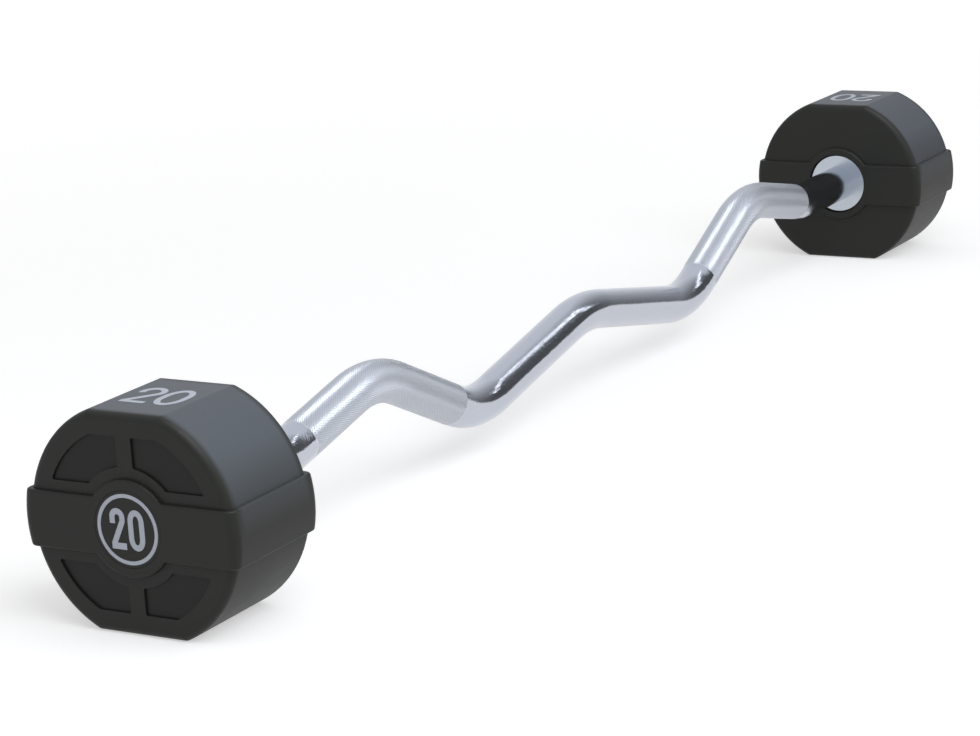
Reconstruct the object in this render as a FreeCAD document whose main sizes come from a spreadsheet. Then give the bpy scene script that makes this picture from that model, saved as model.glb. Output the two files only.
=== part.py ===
import FreeCAD, Part
import math
import os
import re

import Sketcher

# A fixed-weight curl bar: a round bar bent into a shallow W, with a moulded weight head
# bolted to each end. The bar runs along X and bends in the XZ plane, +Z is up, and the
# heads stand on Z = 0 by the flats under them. The origin is midway between the heads.

# Driving sizes in millimetres. Places along the bar are counted from its middle, and
# places in a head from the rim's inner face, outwards along the bar's axis.
SIZES = {
    # Bar: runs along X from its middle to each bend of the centre line and on to the head
    "bar_diameter": 30.0,
    "middle_run": 170.0,
    "inner_run": 125.0,
    "outer_run": 109.0,
    "neck_run": 84.0,
    # Bar: heights of the bends, from the axis of the bar's ends, and their radii
    "middle_bend_drop": 1.0,
    "middle_bend_radius": 130.0,
    "inner_bend_drop": 36.0,
    "inner_bend_radius": 90.0,
    "outer_bend_rise": 24.0,
    "outer_bend_radius": 90.0,
    "end_bend_radius": 60.0,
    # Bar ends inside the heads
    "shoulder_width": 2.5,
    "spigot_gap": 2.0,
    "spigot_chamfer": 1.0,
    "tip_room": 5.0,
    # Casing
    "head_diameter": 150.0,
    "top_flat_cut": 5.0,
    "bottom_flat_cut": 7.0,
    "rim_length": 82.0,
    "rim_fillet": 5.0,
    "flat_blend": 4.0,
    "casing_wall": 9.0,
    "band_height": 36.0,
    "band_raise": 3.0,
    "band_corner": 6.0,
    "outer_boss_wall": 6.5,
    "inner_boss_wall": 6.0,
    "boss_blend": 2.0,
    "raised_edge": 1.5,
    # Pockets in the outer face
    "pocket_depth": 1.5,
    "pocket_margin": 14.0,
    "pocket_border": 7.0,
    "pocket_corner": 1.0,
    "rib_width": 11.0,
    # Core
    "core_edge": 2.0,
    "counterbore_depth": 18.0,
    "washer_room": 1.0,
    # Stop collar
    "collar_diameter": 52.0,
    "collar_recess": 2.5,
    "collar_edge": 1.2,
    # Key
    "key_width": 8.0,
    "key_height": 7.0,
    "key_end_room": 10.5,
    "key_floor_wall": 2.5,
    # Fastening of a head
    "bolt_diameter": 12.0,
    "bolt_length": 40.0,
    "bolt_tip": 1.5,
    "bolt_head_diameter": 18.0,
    "bolt_head_height": 12.0,
    "bolt_head_edge": 1.0,
    "socket_width": 10.0,
    "socket_depth": 6.0,
    "bolt_room": 0.5,
    "clamp_washer_diameter": 40.0,
    "clamp_washer_thickness": 5.0,
    "clamp_washer_edge": 0.6,
    "lock_washer_lip": 1.5,
    "lock_washer_thickness": 3.0,
    "lock_washer_slit": 2.0,
    # End cap and the ring set into it
    "cap_diameter": 48.0,
    "cap_thickness": 4.0,
    "cap_edge": 0.2,
    "skirt_step": 4.0,
    "skirt_wall": 3.0,
    "skirt_depth": 4.0,
    "ring_inset": 2.0,
    "ring_width": 2.4,
    "ring_depth": 0.8,
    # Room round a seated piece, and how far a cut runs past what it cuts
    "fit_gap": 0.1,
    "key_top_gap": 0.3,
    "overrun": 5.0,
}

# Formulas that several pieces share
BAR_RADIUS = "(bar_diameter / 2)"
SPIGOT_RADIUS = f"({BAR_RADIUS} - shoulder_width)"
OUTER_BEND_AT = "(middle_run + inner_run)"
END_BEND_AT = f"({OUTER_BEND_AT} + outer_run)"
INNER_RIM_AT = f"({END_BEND_AT} + neck_run)"
HEAD_RADIUS = "(head_diameter / 2)"
TOP_FLAT = f"({HEAD_RADIUS} - top_flat_cut)"
BOTTOM_FLAT = f"({HEAD_RADIUS} - bottom_flat_cut)"
BAND_RADIUS = f"({HEAD_RADIUS} + band_raise)"
CAP_RADIUS = "(cap_diameter / 2)"
SKIRT_RADIUS = f"({CAP_RADIUS} - skirt_step)"
RING_RADIUS = f"({CAP_RADIUS} - ring_inset)"
COLLAR_RADIUS = "(collar_diameter / 2)"
OUTER_BOSS_RADIUS = f"({CAP_RADIUS} + outer_boss_wall)"
INNER_BOSS_RADIUS = f"({COLLAR_RADIUS} + inner_boss_wall)"
WASHER_HOLE = "(bolt_diameter / 2 + bolt_room)"
CLAMP_WASHER_RADIUS = "(clamp_washer_diameter / 2)"
BOLT_HEAD_RADIUS = "(bolt_head_diameter / 2)"
LOCK_WASHER_RADIUS = f"({BOLT_HEAD_RADIUS} + lock_washer_lip)"
OUTER_FACE = "(rim_length + band_raise)"
CORE_LENGTH = "(rim_length - 2 * casing_wall)"
CORE_END = "(rim_length - casing_wall)"
BOLT_SEAT = "(rim_length - casing_wall - counterbore_depth)"
LOCK_SEAT = f"({BOLT_SEAT} + clamp_washer_thickness)"
HEAD_SEAT = f"({LOCK_SEAT} + lock_washer_thickness)"
COLLAR_FACE = "(collar_recess - band_raise)"
SPIGOT_END = f"({BOLT_SEAT} - spigot_gap)"
SHOULDER_AT = f"({INNER_RIM_AT} + {COLLAR_FACE})"
SPIGOT_LENGTH = f"({SPIGOT_END} - {COLLAR_FACE})"
TAPPED_DEPTH = f"({SPIGOT_END} - {HEAD_SEAT} + bolt_length + tip_room)"
KEY_MIDDLE = f"((casing_wall + {BOLT_SEAT}) / 2)"
KEY_LENGTH = f"({BOLT_SEAT} - casing_wall - 2 * key_end_room)"
KEY_FLOOR = "(bolt_diameter / 2 + key_floor_wall)"
POCKET_BOSS_RADIUS = f"({OUTER_BOSS_RADIUS} + pocket_border)"
POCKET_RIB_SIDE = f"({BOTTOM_FLAT} - pocket_margin - sqrt({POCKET_BOSS_RADIUS}^2 - (rib_width / 2)^2))"
POCKET_CORNER = f"min(pocket_corner; {POCKET_RIB_SIDE} / 3)"

SIDES = {"left": -1, "right": 1}
FULL_TURN = 360
TOLERANCE = 1e-4
UPRIGHT = FreeCAD.Vector(0, 0, 1)
ORIGIN = FreeCAD.Vector()

doc = FreeCAD.newDocument("curl_bar")
sheet = doc.addObject("Spreadsheet::Sheet", "Sizes")
for row, (size_name, size_value) in enumerate(SIZES.items(), start=1):
    sheet.set(f"A{row}", size_name)
    sheet.set(f"B{row}", str(size_value))
    sheet.setAlias(f"B{row}", size_name)
doc.recompute()
sub_parts = []


def formula(text):
    """Point each size named in a formula at its cell of the sheet."""
    def cell(word):
        return f"Sizes.{word[0]}" if word[0] in SIZES else word[0]
    return re.sub(r"[a-z]\w*", cell, text)


def value(text):
    """Work out a formula of sizes."""
    return float(sheet.evalExpression(formula(text)))


def bind(item, setting, text):
    """Tie a setting of a document object to a formula of sizes."""
    item.setExpression(setting, formula(text))


def new_body(label):
    """Start a sub-part."""
    body = doc.addObject("PartDesign::Body", label)
    body.Label = label
    sub_parts.append(body)
    return body


def new_head_body(side, name):
    """Start a sub-part of one head, whose own +X points out along the bar."""
    body = new_body(f"{side}_{name}")
    if SIDES[side] < 0:
        body.Placement = FreeCAD.Placement(ORIGIN, FreeCAD.Rotation(UPRIGHT, FULL_TURN / 2))
    bind(body, "Placement.Base.x", f"{SIDES[side]} * {INNER_RIM_AT}")
    bind(body, "Placement.Base.z", BOTTOM_FLAT)
    return body


def origin_plane(body, role):
    """Find one of a body's own origin planes."""
    return next(item for item in body.Origin.OriginFeatures if item.Role == role)


def new_sketch(body, name, role, offset="0", half_turn=False):
    """Start a sketch on an origin plane, moved along the plane's normal."""
    sketch = body.newObject("Sketcher::SketchObject", name)
    sketch.AttachmentSupport = (origin_plane(body, role), [""])
    sketch.MapMode = "FlatFace"
    if half_turn:
        sketch.AttachmentOffset = FreeCAD.Placement(ORIGIN, FreeCAD.Rotation(UPRIGHT, FULL_TURN / 2))
    bind(sketch, "AttachmentOffset.Base.z", offset)
    return sketch


def dimension(sketch, kind, *ends, text):
    """Add a dimension to a sketch and tie it to a formula."""
    index = sketch.addConstraint(Sketcher.Constraint(kind, *ends, value(text)))
    bind(sketch, f"Constraints[{index}]", text)


def relate(sketch, kind, *ends):
    """Add a relation without a dimension to a sketch."""
    sketch.addConstraint(Sketcher.Constraint(kind, *ends))


def pin_point(sketch, shape, point, across, up):
    """Tie a point of a sketch to its two distances from the sketch's origin."""
    for kind, text, axis in (("DistanceX", across, -2), ("DistanceY", up, -1)):
        distance = value(text)
        if distance == 0:
            relate(sketch, "PointOnObject", shape, point, axis)
        elif distance > 0:
            dimension(sketch, kind, -1, 1, shape, point, text=text)
        else:
            dimension(sketch, kind, shape, point, -1, 1, text=f"-({text})")


def draw_line(sketch, start, end):
    """Draw a line between two points in the sketch's plane."""
    return sketch.addGeometry(Part.LineSegment(start, end), False)


def draw_arc(sketch, centre, radius, start, end):
    """Draw an arc, anticlockwise between two angles."""
    return sketch.addGeometry(Part.ArcOfCircle(Part.Circle(centre, UPRIGHT, radius), start, end), False)


def draw_circle(sketch, radius):
    """Draw a circle round the sketch's origin."""
    circle = sketch.addGeometry(Part.Circle(ORIGIN, UPRIGHT, value(radius)), False)
    relate(sketch, "Coincident", circle, 3, -1, 1)
    dimension(sketch, "Radius", circle, text=radius)


def draw_polygon(sketch, corners):
    """Draw straight lines round corners that are each given by two formulas."""
    points = [FreeCAD.Vector(value(across), value(up), 0) for across, up in corners]
    lines = [draw_line(sketch, *ends) for ends in zip(points, points[1:] + points[:1])]
    for line, following in zip(lines, lines[1:] + lines[:1]):
        relate(sketch, "Coincident", line, 2, following, 1)
    for line, (across, up) in zip(lines, corners):
        pin_point(sketch, line, 1, across, up)


def draw_box(sketch, left, right, low, high):
    """Draw a rectangle between four formulas."""
    draw_polygon(sketch, [(left, low), (right, low), (right, high), (left, high)])


def draw_slot(sketch, middle, length, width):
    """Draw a round-ended slot along the sketch's first axis."""
    radius = value(f"({width}) / 2")
    reach = f"(({length}) - ({width})) / 2"
    far_centre = FreeCAD.Vector(value(f"{middle} + {reach}"), 0, 0)
    near_centre = FreeCAD.Vector(value(f"{middle} - {reach}"), 0, 0)
    side = FreeCAD.Vector(0, radius, 0)
    far = draw_arc(sketch, far_centre, radius, -math.pi / 2, math.pi / 2)
    upper = draw_line(sketch, far_centre + side, near_centre + side)
    near = draw_arc(sketch, near_centre, radius, math.pi / 2, 3 * math.pi / 2)
    lower = draw_line(sketch, near_centre - side, far_centre - side)
    chain = [far, upper, near, lower]
    for shape, following in zip(chain, chain[1:] + chain[:1]):
        relate(sketch, "Tangent", shape, 2, following, 1)
    pin_point(sketch, far, 3, f"{middle} + {reach}", "0")
    pin_point(sketch, near, 3, f"{middle} - {reach}", "0")
    dimension(sketch, "Radius", far, text=f"({width}) / 2")
    relate(sketch, "Equal", far, near)


def draw_flatted_circle(sketch, radius_text, top_text, bottom_text):
    """Draw a circle that is cut flat above and below its middle."""
    radius, top, bottom = (value(text) for text in (radius_text, top_text, bottom_text))
    top_corner = FreeCAD.Vector(math.sqrt(radius**2 - top**2), top, 0)
    bottom_corner = FreeCAD.Vector(math.sqrt(radius**2 - bottom**2), -bottom, 0)
    top_angle = math.atan2(top, top_corner.x)
    bottom_angle = math.atan2(bottom, bottom_corner.x)
    mirrored_top = FreeCAD.Vector(-top_corner.x, top, 0)
    mirrored_bottom = FreeCAD.Vector(-bottom_corner.x, -bottom, 0)
    right = draw_arc(sketch, ORIGIN, radius, -bottom_angle, top_angle)
    upper = draw_line(sketch, top_corner, mirrored_top)
    left = draw_arc(sketch, ORIGIN, radius, math.pi - top_angle, math.pi + bottom_angle)
    lower = draw_line(sketch, mirrored_bottom, bottom_corner)
    chain = [right, upper, left, lower]
    for shape, following in zip(chain, chain[1:] + chain[:1]):
        relate(sketch, "Coincident", shape, 2, following, 1)
    for arc in (right, left):
        relate(sketch, "Coincident", arc, 3, -1, 1)
    relate(sketch, "Equal", right, left)
    relate(sketch, "Horizontal", upper)
    relate(sketch, "Horizontal", lower)
    dimension(sketch, "Radius", right, text=radius_text)
    dimension(sketch, "DistanceY", -1, 1, upper, 1, text=top_text)
    dimension(sketch, "DistanceY", lower, 1, -1, 1, text=bottom_text)


def draw_head_outline(sketch, inset):
    """Draw a head's round outline with its two flats, moved in from the outside."""
    draw_flatted_circle(sketch, *(f"{reach} - ({inset})" for reach in (HEAD_RADIUS, TOP_FLAT, BOTTOM_FLAT)))


def draw_pocket(sketch, flat):
    """Draw the pocket between boss, band, rib, rim and flat."""
    inner_text = POCKET_BOSS_RADIUS
    outer_text = f"{HEAD_RADIUS} - pocket_margin"
    low_text = "band_height / 2 + pocket_border"
    high_text = f"{flat} - pocket_margin"
    inner, outer, low, high = (value(text) for text in (inner_text, outer_text, low_text, high_text))
    rib = value("rib_width / 2")
    inner_low = FreeCAD.Vector(math.sqrt(inner**2 - low**2), low, 0)
    inner_rib = FreeCAD.Vector(rib, math.sqrt(inner**2 - rib**2), 0)
    outer_low = FreeCAD.Vector(math.sqrt(outer**2 - low**2), low, 0)
    outer_high = FreeCAD.Vector(math.sqrt(outer**2 - high**2), high, 0)
    rib_high = FreeCAD.Vector(rib, high, 0)
    band_side = draw_line(sketch, inner_low, outer_low)
    rim_side = draw_arc(
        sketch, ORIGIN, outer, math.atan2(low, outer_low.x), math.atan2(high, outer_high.x))
    flat_side = draw_line(sketch, outer_high, rib_high)
    rib_side = draw_line(sketch, rib_high, inner_rib)
    boss_side = draw_arc(
        sketch, ORIGIN, inner, math.atan2(low, inner_low.x), math.atan2(inner_rib.y, rib))
    for shape, end, following, start in (
            (band_side, 2, rim_side, 1), (rim_side, 2, flat_side, 1), (flat_side, 2, rib_side, 1),
            (rib_side, 2, boss_side, 2), (boss_side, 1, band_side, 1)):
        relate(sketch, "Coincident", shape, end, following, start)
    for arc, text in ((rim_side, outer_text), (boss_side, inner_text)):
        relate(sketch, "Coincident", arc, 3, -1, 1)
        dimension(sketch, "Radius", arc, text=text)
    relate(sketch, "Horizontal", band_side)
    relate(sketch, "Horizontal", flat_side)
    relate(sketch, "Vertical", rib_side)
    dimension(sketch, "DistanceY", -1, 1, band_side, 1, text=low_text)
    dimension(sketch, "DistanceY", -1, 1, flat_side, 1, text=high_text)
    dimension(sketch, "DistanceX", -1, 1, rib_side, 1, text="rib_width / 2")


def pad(body, name, sketch, length, backwards=False):
    """Raise a sketch into a solid along its normal."""
    feature = body.newObject("PartDesign::Pad", name)
    feature.Profile = sketch
    feature.Reversed = backwards
    bind(feature, "Length", length)
    return feature


def cut(body, name, sketch, length, along_normal=False):
    """Cut a sketch out of the body, against its normal or along it."""
    doc.recompute()
    before = body.Shape.Volume
    feature = body.newObject("PartDesign::Pocket", name)
    feature.Profile = sketch
    feature.Reversed = along_normal
    bind(feature, "Length", length)
    doc.recompute()
    if body.Shape.Volume > before - TOLERANCE:
        raise RuntimeError(f"{body.Label}: {name} cuts nothing")
    return feature


def mirror_across(body, name, feature, role):
    """Repeat a feature on the other side of an origin plane."""
    mirrored = body.newObject("PartDesign::Mirrored", name)
    mirrored.Originals = [feature]
    mirrored.MirrorPlane = (origin_plane(body, role), [""])
    body.Tip = mirrored
    return mirrored


def dress_edges(body, kind, name, size, chosen):
    """Round or bevel the edges of a body that a test picks out."""
    doc.recompute()
    base = body.Tip
    edges = [f"Edge{number}" for number, edge in enumerate(base.Shape.Edges, start=1) if chosen(edge)]
    if not edges:
        raise RuntimeError(f"{body.Label}: {name} finds no edge")
    feature = body.newObject(f"PartDesign::{kind}", name)
    feature.Base = (base, edges)
    bind(feature, "Radius" if kind == "Fillet" else "Size", size)
    return feature


def same(first, second):
    """Say whether two lengths agree."""
    return abs(first - second) < TOLERANCE


def spans(edge, axis):
    """Give the lowest and highest place of an edge along one axis."""
    box = edge.BoundBox
    return getattr(box, f"{axis}Min"), getattr(box, f"{axis}Max")


def lies_at(edge, axis, *texts):
    """Say whether an edge lies whole at one of the places given along an axis."""
    low, high = spans(edge, axis)
    return same(low, high) and any(same(low, value(text)) for text in texts)


def turn_part(body, name, corners):
    """Turn a profile, given as places along and out from the X axis, into a solid."""
    sketch = new_sketch(body, f"{name}_profile", "XZ_Plane")
    draw_polygon(sketch, corners)
    feature = body.newObject("PartDesign::Revolution", name)
    feature.Profile = sketch
    feature.ReferenceAxis = (sketch, ["H_Axis"])
    feature.Angle = FULL_TURN
    return feature


def turn_ring(body, name, start, end, inner, outer):
    """Turn a plain ring with a square section."""
    return turn_part(body, name, [(start, inner), (end, inner), (end, outer), (start, outer)])


def bar_bends():
    """List the bar's bends from left to right: place, height and radius."""
    half = [
        (END_BEND_AT, "0", "end_bend_radius"),
        (OUTER_BEND_AT, "outer_bend_rise", "outer_bend_radius"),
        ("middle_run", "-inner_bend_drop", "inner_bend_radius"),
    ]
    middle = ("0", "-middle_bend_drop", "middle_bend_radius")
    left = [(f"-{place}", height, radius) for place, height, radius in half]
    return left + [middle] + half[::-1]


def draw_bar_path(sketch):
    """Draw the bar's centre line: straight runs joined by tangent arcs."""
    bends = bar_bends()
    left_end = (f"-{SHOULDER_AT}", "0")
    right_end = (SHOULDER_AT, "0")
    corners = [left_end] + [bend[:2] for bend in bends] + [right_end]
    points = [FreeCAD.Vector(value(across), value(up), 0) for across, up in corners]
    run_start = points[0]
    chain = []
    arcs = []
    for before, corner, after, bend in zip(points, points[1:], points[2:], bends):
        into = (corner - before).normalize()
        out = (after - corner).normalize()
        rise = into.x * out.y - into.y * out.x
        turn = math.asin(rise)
        radius = value(bend[2])
        tangent_length = radius * math.tan(abs(turn) / 2)
        arc_start = corner - into * tangent_length
        arc_end = corner + out * tangent_length
        hand = math.copysign(1, turn)
        centre = arc_start + FreeCAD.Vector(-into.y, into.x, 0) * (radius * hand)
        ends = [math.atan2(point.y - centre.y, point.x - centre.x) for point in (arc_start, arc_end)]
        first, last = ends if hand > 0 else ends[::-1]
        if last < first:
            last += 2 * math.pi
        chain.append((draw_line(sketch, run_start, arc_start), 1, 2))
        arc = draw_arc(sketch, centre, radius, first, last)
        chain.append((arc, 1, 2) if hand > 0 else (arc, 2, 1))
        arcs.append(arc)
        run_start = arc_end
    chain.append((draw_line(sketch, run_start, points[-1]), 1, 2))
    for (shape, _, end), (following, start, _) in zip(chain, chain[1:]):
        relate(sketch, "Tangent", shape, end, following, start)
    for arc, bend in zip(arcs, bends):
        dimension(sketch, "Radius", arc, text=bend[2])
    runs = [shape for shape, _, _ in chain[::2]]
    for before, after, (across, up, _), corner in zip(runs, runs[1:], bends, points[1:]):
        mark = sketch.addGeometry(Part.Point(corner), True)
        pin_point(sketch, mark, 1, across, up)
        relate(sketch, "PointOnObject", mark, 1, before)
        relate(sketch, "PointOnObject", mark, 1, after)
    pin_point(sketch, runs[0], 1, *left_end)
    pin_point(sketch, runs[-1], 2, *right_end)


def make_bar():
    """The bent bar with a turned spigot, a tapped hole and a key seat at each end."""
    body = new_body("curl_bar")
    bind(body, "Placement.Base.z", BOTTOM_FLAT)
    path = new_sketch(body, "bar_path", "XZ_Plane")
    draw_bar_path(path)
    section = new_sketch(body, "bar_section", "YZ_Plane", f"-{SHOULDER_AT}")
    draw_circle(section, BAR_RADIUS)
    doc.recompute()
    sweep = body.newObject("PartDesign::AdditivePipe", "bent_bar")
    sweep.Profile = section
    sweep.Spine = (path, [f"Edge{number}" for number in range(1, len(path.Shape.Edges) + 1)])
    doc.recompute()
    expected = path.Shape.Length * math.pi * value(BAR_RADIUS)**2
    print(f"bar path {path.Shape.Length:.1f} mm, swept to {sweep.Shape.Volume / expected:.5f} of its volume")
    for side, hand in SIDES.items():
        spigot = new_sketch(body, f"{side}_spigot_section", "YZ_Plane", f"{hand} * {SHOULDER_AT}")
        draw_circle(spigot, SPIGOT_RADIUS)
        pad(body, f"{side}_spigot", spigot, SPIGOT_LENGTH, hand < 0)
        end = f"{hand} * ({SHOULDER_AT} + {SPIGOT_LENGTH})"
        hole = new_sketch(body, f"{side}_hole_section", "YZ_Plane", end)
        draw_circle(hole, "bolt_diameter / 2 + fit_gap")
        cut(body, f"{side}_tapped_hole", hole, TAPPED_DEPTH, hand < 0)
        seat = new_sketch(body, f"{side}_key_outline", "XY_Plane", KEY_FLOOR)
        draw_slot(seat, f"{hand} * ({INNER_RIM_AT} + {KEY_MIDDLE})",
                  f"{KEY_LENGTH} + 2 * fit_gap", "key_width + 2 * fit_gap")
        cut(body, f"{side}_key_seat", seat, "key_height + overrun", True)
    ends = [f"{hand} * ({SHOULDER_AT} + {SPIGOT_LENGTH})" for hand in SIDES.values()]
    dress_edges(body, "Chamfer", "spigot_lead", "spigot_chamfer",
                lambda edge: lies_at(edge, "X", *ends)
                and same(edge.BoundBox.ZLength, value(f"2 * {SPIGOT_RADIUS}")))


def make_casing(side):
    """The moulded urethane head round the core, with its band, bosses and pockets."""
    body = new_head_body(side, "urethane_casing")
    outline = new_sketch(body, "outline", "YZ_Plane")
    draw_head_outline(outline, "0")
    pad(body, "block", outline, "rim_length")
    dress_edges(body, "Fillet", "flat_blends", "flat_blend",
                lambda edge: same(edge.BoundBox.XLength, value("rim_length")))
    dress_edges(body, "Fillet", "rim_rounding", "rim_fillet",
                lambda edge: lies_at(edge, "X", "0", "rim_length"))

    band = new_sketch(body, "band_section", "YZ_Plane", "-band_raise")
    draw_flatted_circle(band, BAND_RADIUS, "band_height / 2", "band_height / 2")
    pad(body, "band", band, "rim_length + 2 * band_raise")
    dress_edges(body, "Fillet", "band_corners", "band_corner",
                lambda edge: lies_at(edge, "X", "-band_raise", OUTER_FACE)
                and same(edge.BoundBox.ZLength, value("band_height")))

    outer_boss = new_sketch(body, "outer_boss_section", "YZ_Plane", CORE_END)
    draw_circle(outer_boss, OUTER_BOSS_RADIUS)
    pad(body, "outer_boss", outer_boss, f"{OUTER_FACE} - {CORE_END}")
    inner_boss = new_sketch(body, "inner_boss_section", "YZ_Plane", "casing_wall")
    draw_circle(inner_boss, INNER_BOSS_RADIUS)
    pad(body, "inner_boss", inner_boss, "casing_wall + band_raise", True)
    dress_edges(body, "Fillet", "boss_blends", "boss_blend",
                lambda edge: lies_at(edge, "Z", "-band_height / 2", "band_height / 2")
                and same(edge.BoundBox.XLength, value("band_raise")) and same(edge.BoundBox.YLength, 0))
    dress_edges(body, "Fillet", "raised_edges", "raised_edge",
                lambda edge: lies_at(edge, "X", "-band_raise", OUTER_FACE))

    for name, flat in (("upper", TOP_FLAT), ("lower", BOTTOM_FLAT)):
        pocket = new_sketch(body, f"{name}_pocket_outline", "YZ_Plane", "rim_length", name == "lower")
        draw_pocket(pocket, flat)
        first = cut(body, f"{name}_pocket", pocket, "pocket_depth")
        mirror_across(body, f"{name}_pocket_pair", first, "XZ_Plane")
    dress_edges(body, "Fillet", "pocket_corners", POCKET_CORNER,
                lambda edge: same(edge.BoundBox.XLength, value("pocket_depth"))
                and same(edge.BoundBox.XMax, value("rim_length")))

    cavity = new_sketch(body, "core_cavity_outline", "YZ_Plane", "casing_wall")
    draw_head_outline(cavity, "casing_wall - fit_gap")
    cut(body, "core_cavity", cavity, CORE_LENGTH, True)
    collar = new_sketch(body, "collar_opening", "YZ_Plane", "casing_wall + overrun")
    draw_circle(collar, f"{COLLAR_RADIUS} + fit_gap")
    cut(body, "collar_hole", collar, "casing_wall + band_raise + 2 * overrun")
    cap = new_sketch(body, "cap_opening", "YZ_Plane", OUTER_FACE)
    draw_circle(cap, f"{CAP_RADIUS} + fit_gap")
    cut(body, "cap_recess", cap, "cap_thickness")
    skirt = new_sketch(body, "skirt_opening", "YZ_Plane", OUTER_FACE)
    draw_circle(skirt, f"{SKIRT_RADIUS} + fit_gap")
    cut(body, "skirt_hole", skirt, "casing_wall + band_raise + overrun")


def make_core(side):
    """The steel weight inside the casing."""
    body = new_head_body(side, "weight_core")
    outline = new_sketch(body, "outline", "YZ_Plane", "casing_wall")
    draw_head_outline(outline, "casing_wall")
    pad(body, "block", outline, CORE_LENGTH)
    dress_edges(body, "Chamfer", "core_edges", "core_edge",
                lambda edge: lies_at(edge, "X", "casing_wall", CORE_END))
    bore = new_sketch(body, "bore_section", "YZ_Plane", CORE_END)
    draw_circle(bore, f"{SPIGOT_RADIUS} + fit_gap")
    cut(body, "bore", bore, f"{CORE_LENGTH} + overrun")
    counterbore = new_sketch(body, "counterbore_section", "YZ_Plane", CORE_END)
    draw_circle(counterbore, f"{CLAMP_WASHER_RADIUS} + washer_room")
    cut(body, "counterbore", counterbore, "counterbore_depth")
    keyway = new_sketch(body, "keyway_section", "YZ_Plane", CORE_END)
    draw_box(keyway, "-key_width / 2 - fit_gap", "key_width / 2 + fit_gap",
             "0", f"{KEY_FLOOR} + key_height + key_top_gap")
    cut(body, "keyway", keyway, f"{CORE_LENGTH} + overrun")


def make_collar(side):
    """The plated disc between the bar's shoulder and the core."""
    body = new_head_body(side, "stop_collar")
    inner = f"{SPIGOT_RADIUS} + fit_gap"
    turn_part(body, "disc", [
        (COLLAR_FACE, inner), ("casing_wall", inner), ("casing_wall", COLLAR_RADIUS),
        (f"{COLLAR_FACE} + collar_edge", COLLAR_RADIUS), (COLLAR_FACE, f"{COLLAR_RADIUS} - collar_edge")])


def make_key(side):
    """The round-ended key that stops the head from turning on the bar."""
    body = new_head_body(side, "drive_key")
    outline = new_sketch(body, "outline", "XY_Plane", KEY_FLOOR)
    draw_slot(outline, KEY_MIDDLE, KEY_LENGTH, "key_width")
    pad(body, "key", outline, "key_height")


def make_clamp_washer(side):
    """The thick washer that spreads the bolt's load over the core."""
    body = new_head_body(side, "clamp_washer")
    outer = CLAMP_WASHER_RADIUS
    turn_part(body, "washer", [
        (BOLT_SEAT, WASHER_HOLE), (LOCK_SEAT, WASHER_HOLE), (LOCK_SEAT, f"{outer} - clamp_washer_edge"),
        (f"{LOCK_SEAT} - clamp_washer_edge", outer), (BOLT_SEAT, outer)])


def make_lock_washer(side):
    """The split spring washer under the bolt's head."""
    body = new_head_body(side, "lock_washer")
    turn_ring(body, "washer", LOCK_SEAT, HEAD_SEAT, WASHER_HOLE, LOCK_WASHER_RADIUS)
    slit = new_sketch(body, "slit_section", "YZ_Plane", HEAD_SEAT)
    draw_box(slit, "-lock_washer_slit / 2", "lock_washer_slit / 2", "0", f"{LOCK_WASHER_RADIUS} + overrun")
    cut(body, "slit", slit, "lock_washer_thickness + overrun")


def make_bolt(side):
    """The socket-head bolt in the bar's end."""
    body = new_head_body(side, "end_bolt")
    shank = "bolt_diameter / 2"
    head = BOLT_HEAD_RADIUS
    tip = f"{HEAD_SEAT} - bolt_length"
    top = f"{HEAD_SEAT} + bolt_head_height"
    turn_part(body, "bolt", [
        (tip, "0"), (tip, f"{shank} - bolt_tip"), (f"{tip} + bolt_tip", shank), (HEAD_SEAT, shank),
        (HEAD_SEAT, head), (f"{top} - bolt_head_edge", head), (top, f"{head} - bolt_head_edge"), (top, "0")])
    socket = new_sketch(body, "socket_outline", "YZ_Plane", top)
    half = "socket_width / 2"
    corner = "socket_width / sqrt(3)"
    draw_polygon(socket, [
        ("0", f"-{corner}"), (half, f"-{corner} / 2"), (half, f"{corner} / 2"),
        ("0", corner), (f"-{half}", f"{corner} / 2"), (f"-{half}", f"-{corner} / 2")])
    cut(body, "socket", socket, "socket_depth")


def make_cap(side):
    """The disc that closes the outer boss, with its skirt and the groove for the ring."""
    body = new_head_body(side, "end_cap")
    skirt_inside = f"{SKIRT_RADIUS} - skirt_wall"
    back = f"{OUTER_FACE} - cap_thickness"
    skirt_end = f"{back} - skirt_depth"
    groove = f"{OUTER_FACE} - ring_depth"
    ring = f"{RING_RADIUS} + fit_gap"
    ring_inside = f"{RING_RADIUS} - ring_width - fit_gap"
    turn_part(body, "cap", [
        (back, "0"), (back, skirt_inside), (skirt_end, skirt_inside), (skirt_end, SKIRT_RADIUS),
        (back, SKIRT_RADIUS), (back, CAP_RADIUS), (f"{OUTER_FACE} - cap_edge", CAP_RADIUS),
        (OUTER_FACE, f"{CAP_RADIUS} - cap_edge"), (OUTER_FACE, ring), (groove, ring),
        (groove, ring_inside), (OUTER_FACE, ring_inside), (OUTER_FACE, "0")])


def make_cap_ring(side):
    """The pale ring set flush into the end cap."""
    body = new_head_body(side, "cap_ring")
    turn_ring(body, "ring", f"{OUTER_FACE} - ring_depth", OUTER_FACE,
              f"{RING_RADIUS} - ring_width", RING_RADIUS)


def check_document():
    """Stop if any object failed or any sub-part isn't one sound solid."""
    for item in doc.Objects:
        if {"Invalid", "Error"} & set(item.State):
            raise RuntimeError(f"{item.Label} failed: {item.State}")
    for part in sub_parts:
        shape = part.Shape
        if shape.isNull() or not shape.isValid() or len(shape.Solids) != 1:
            raise RuntimeError(f"{part.Label} is not one sound solid")


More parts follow.
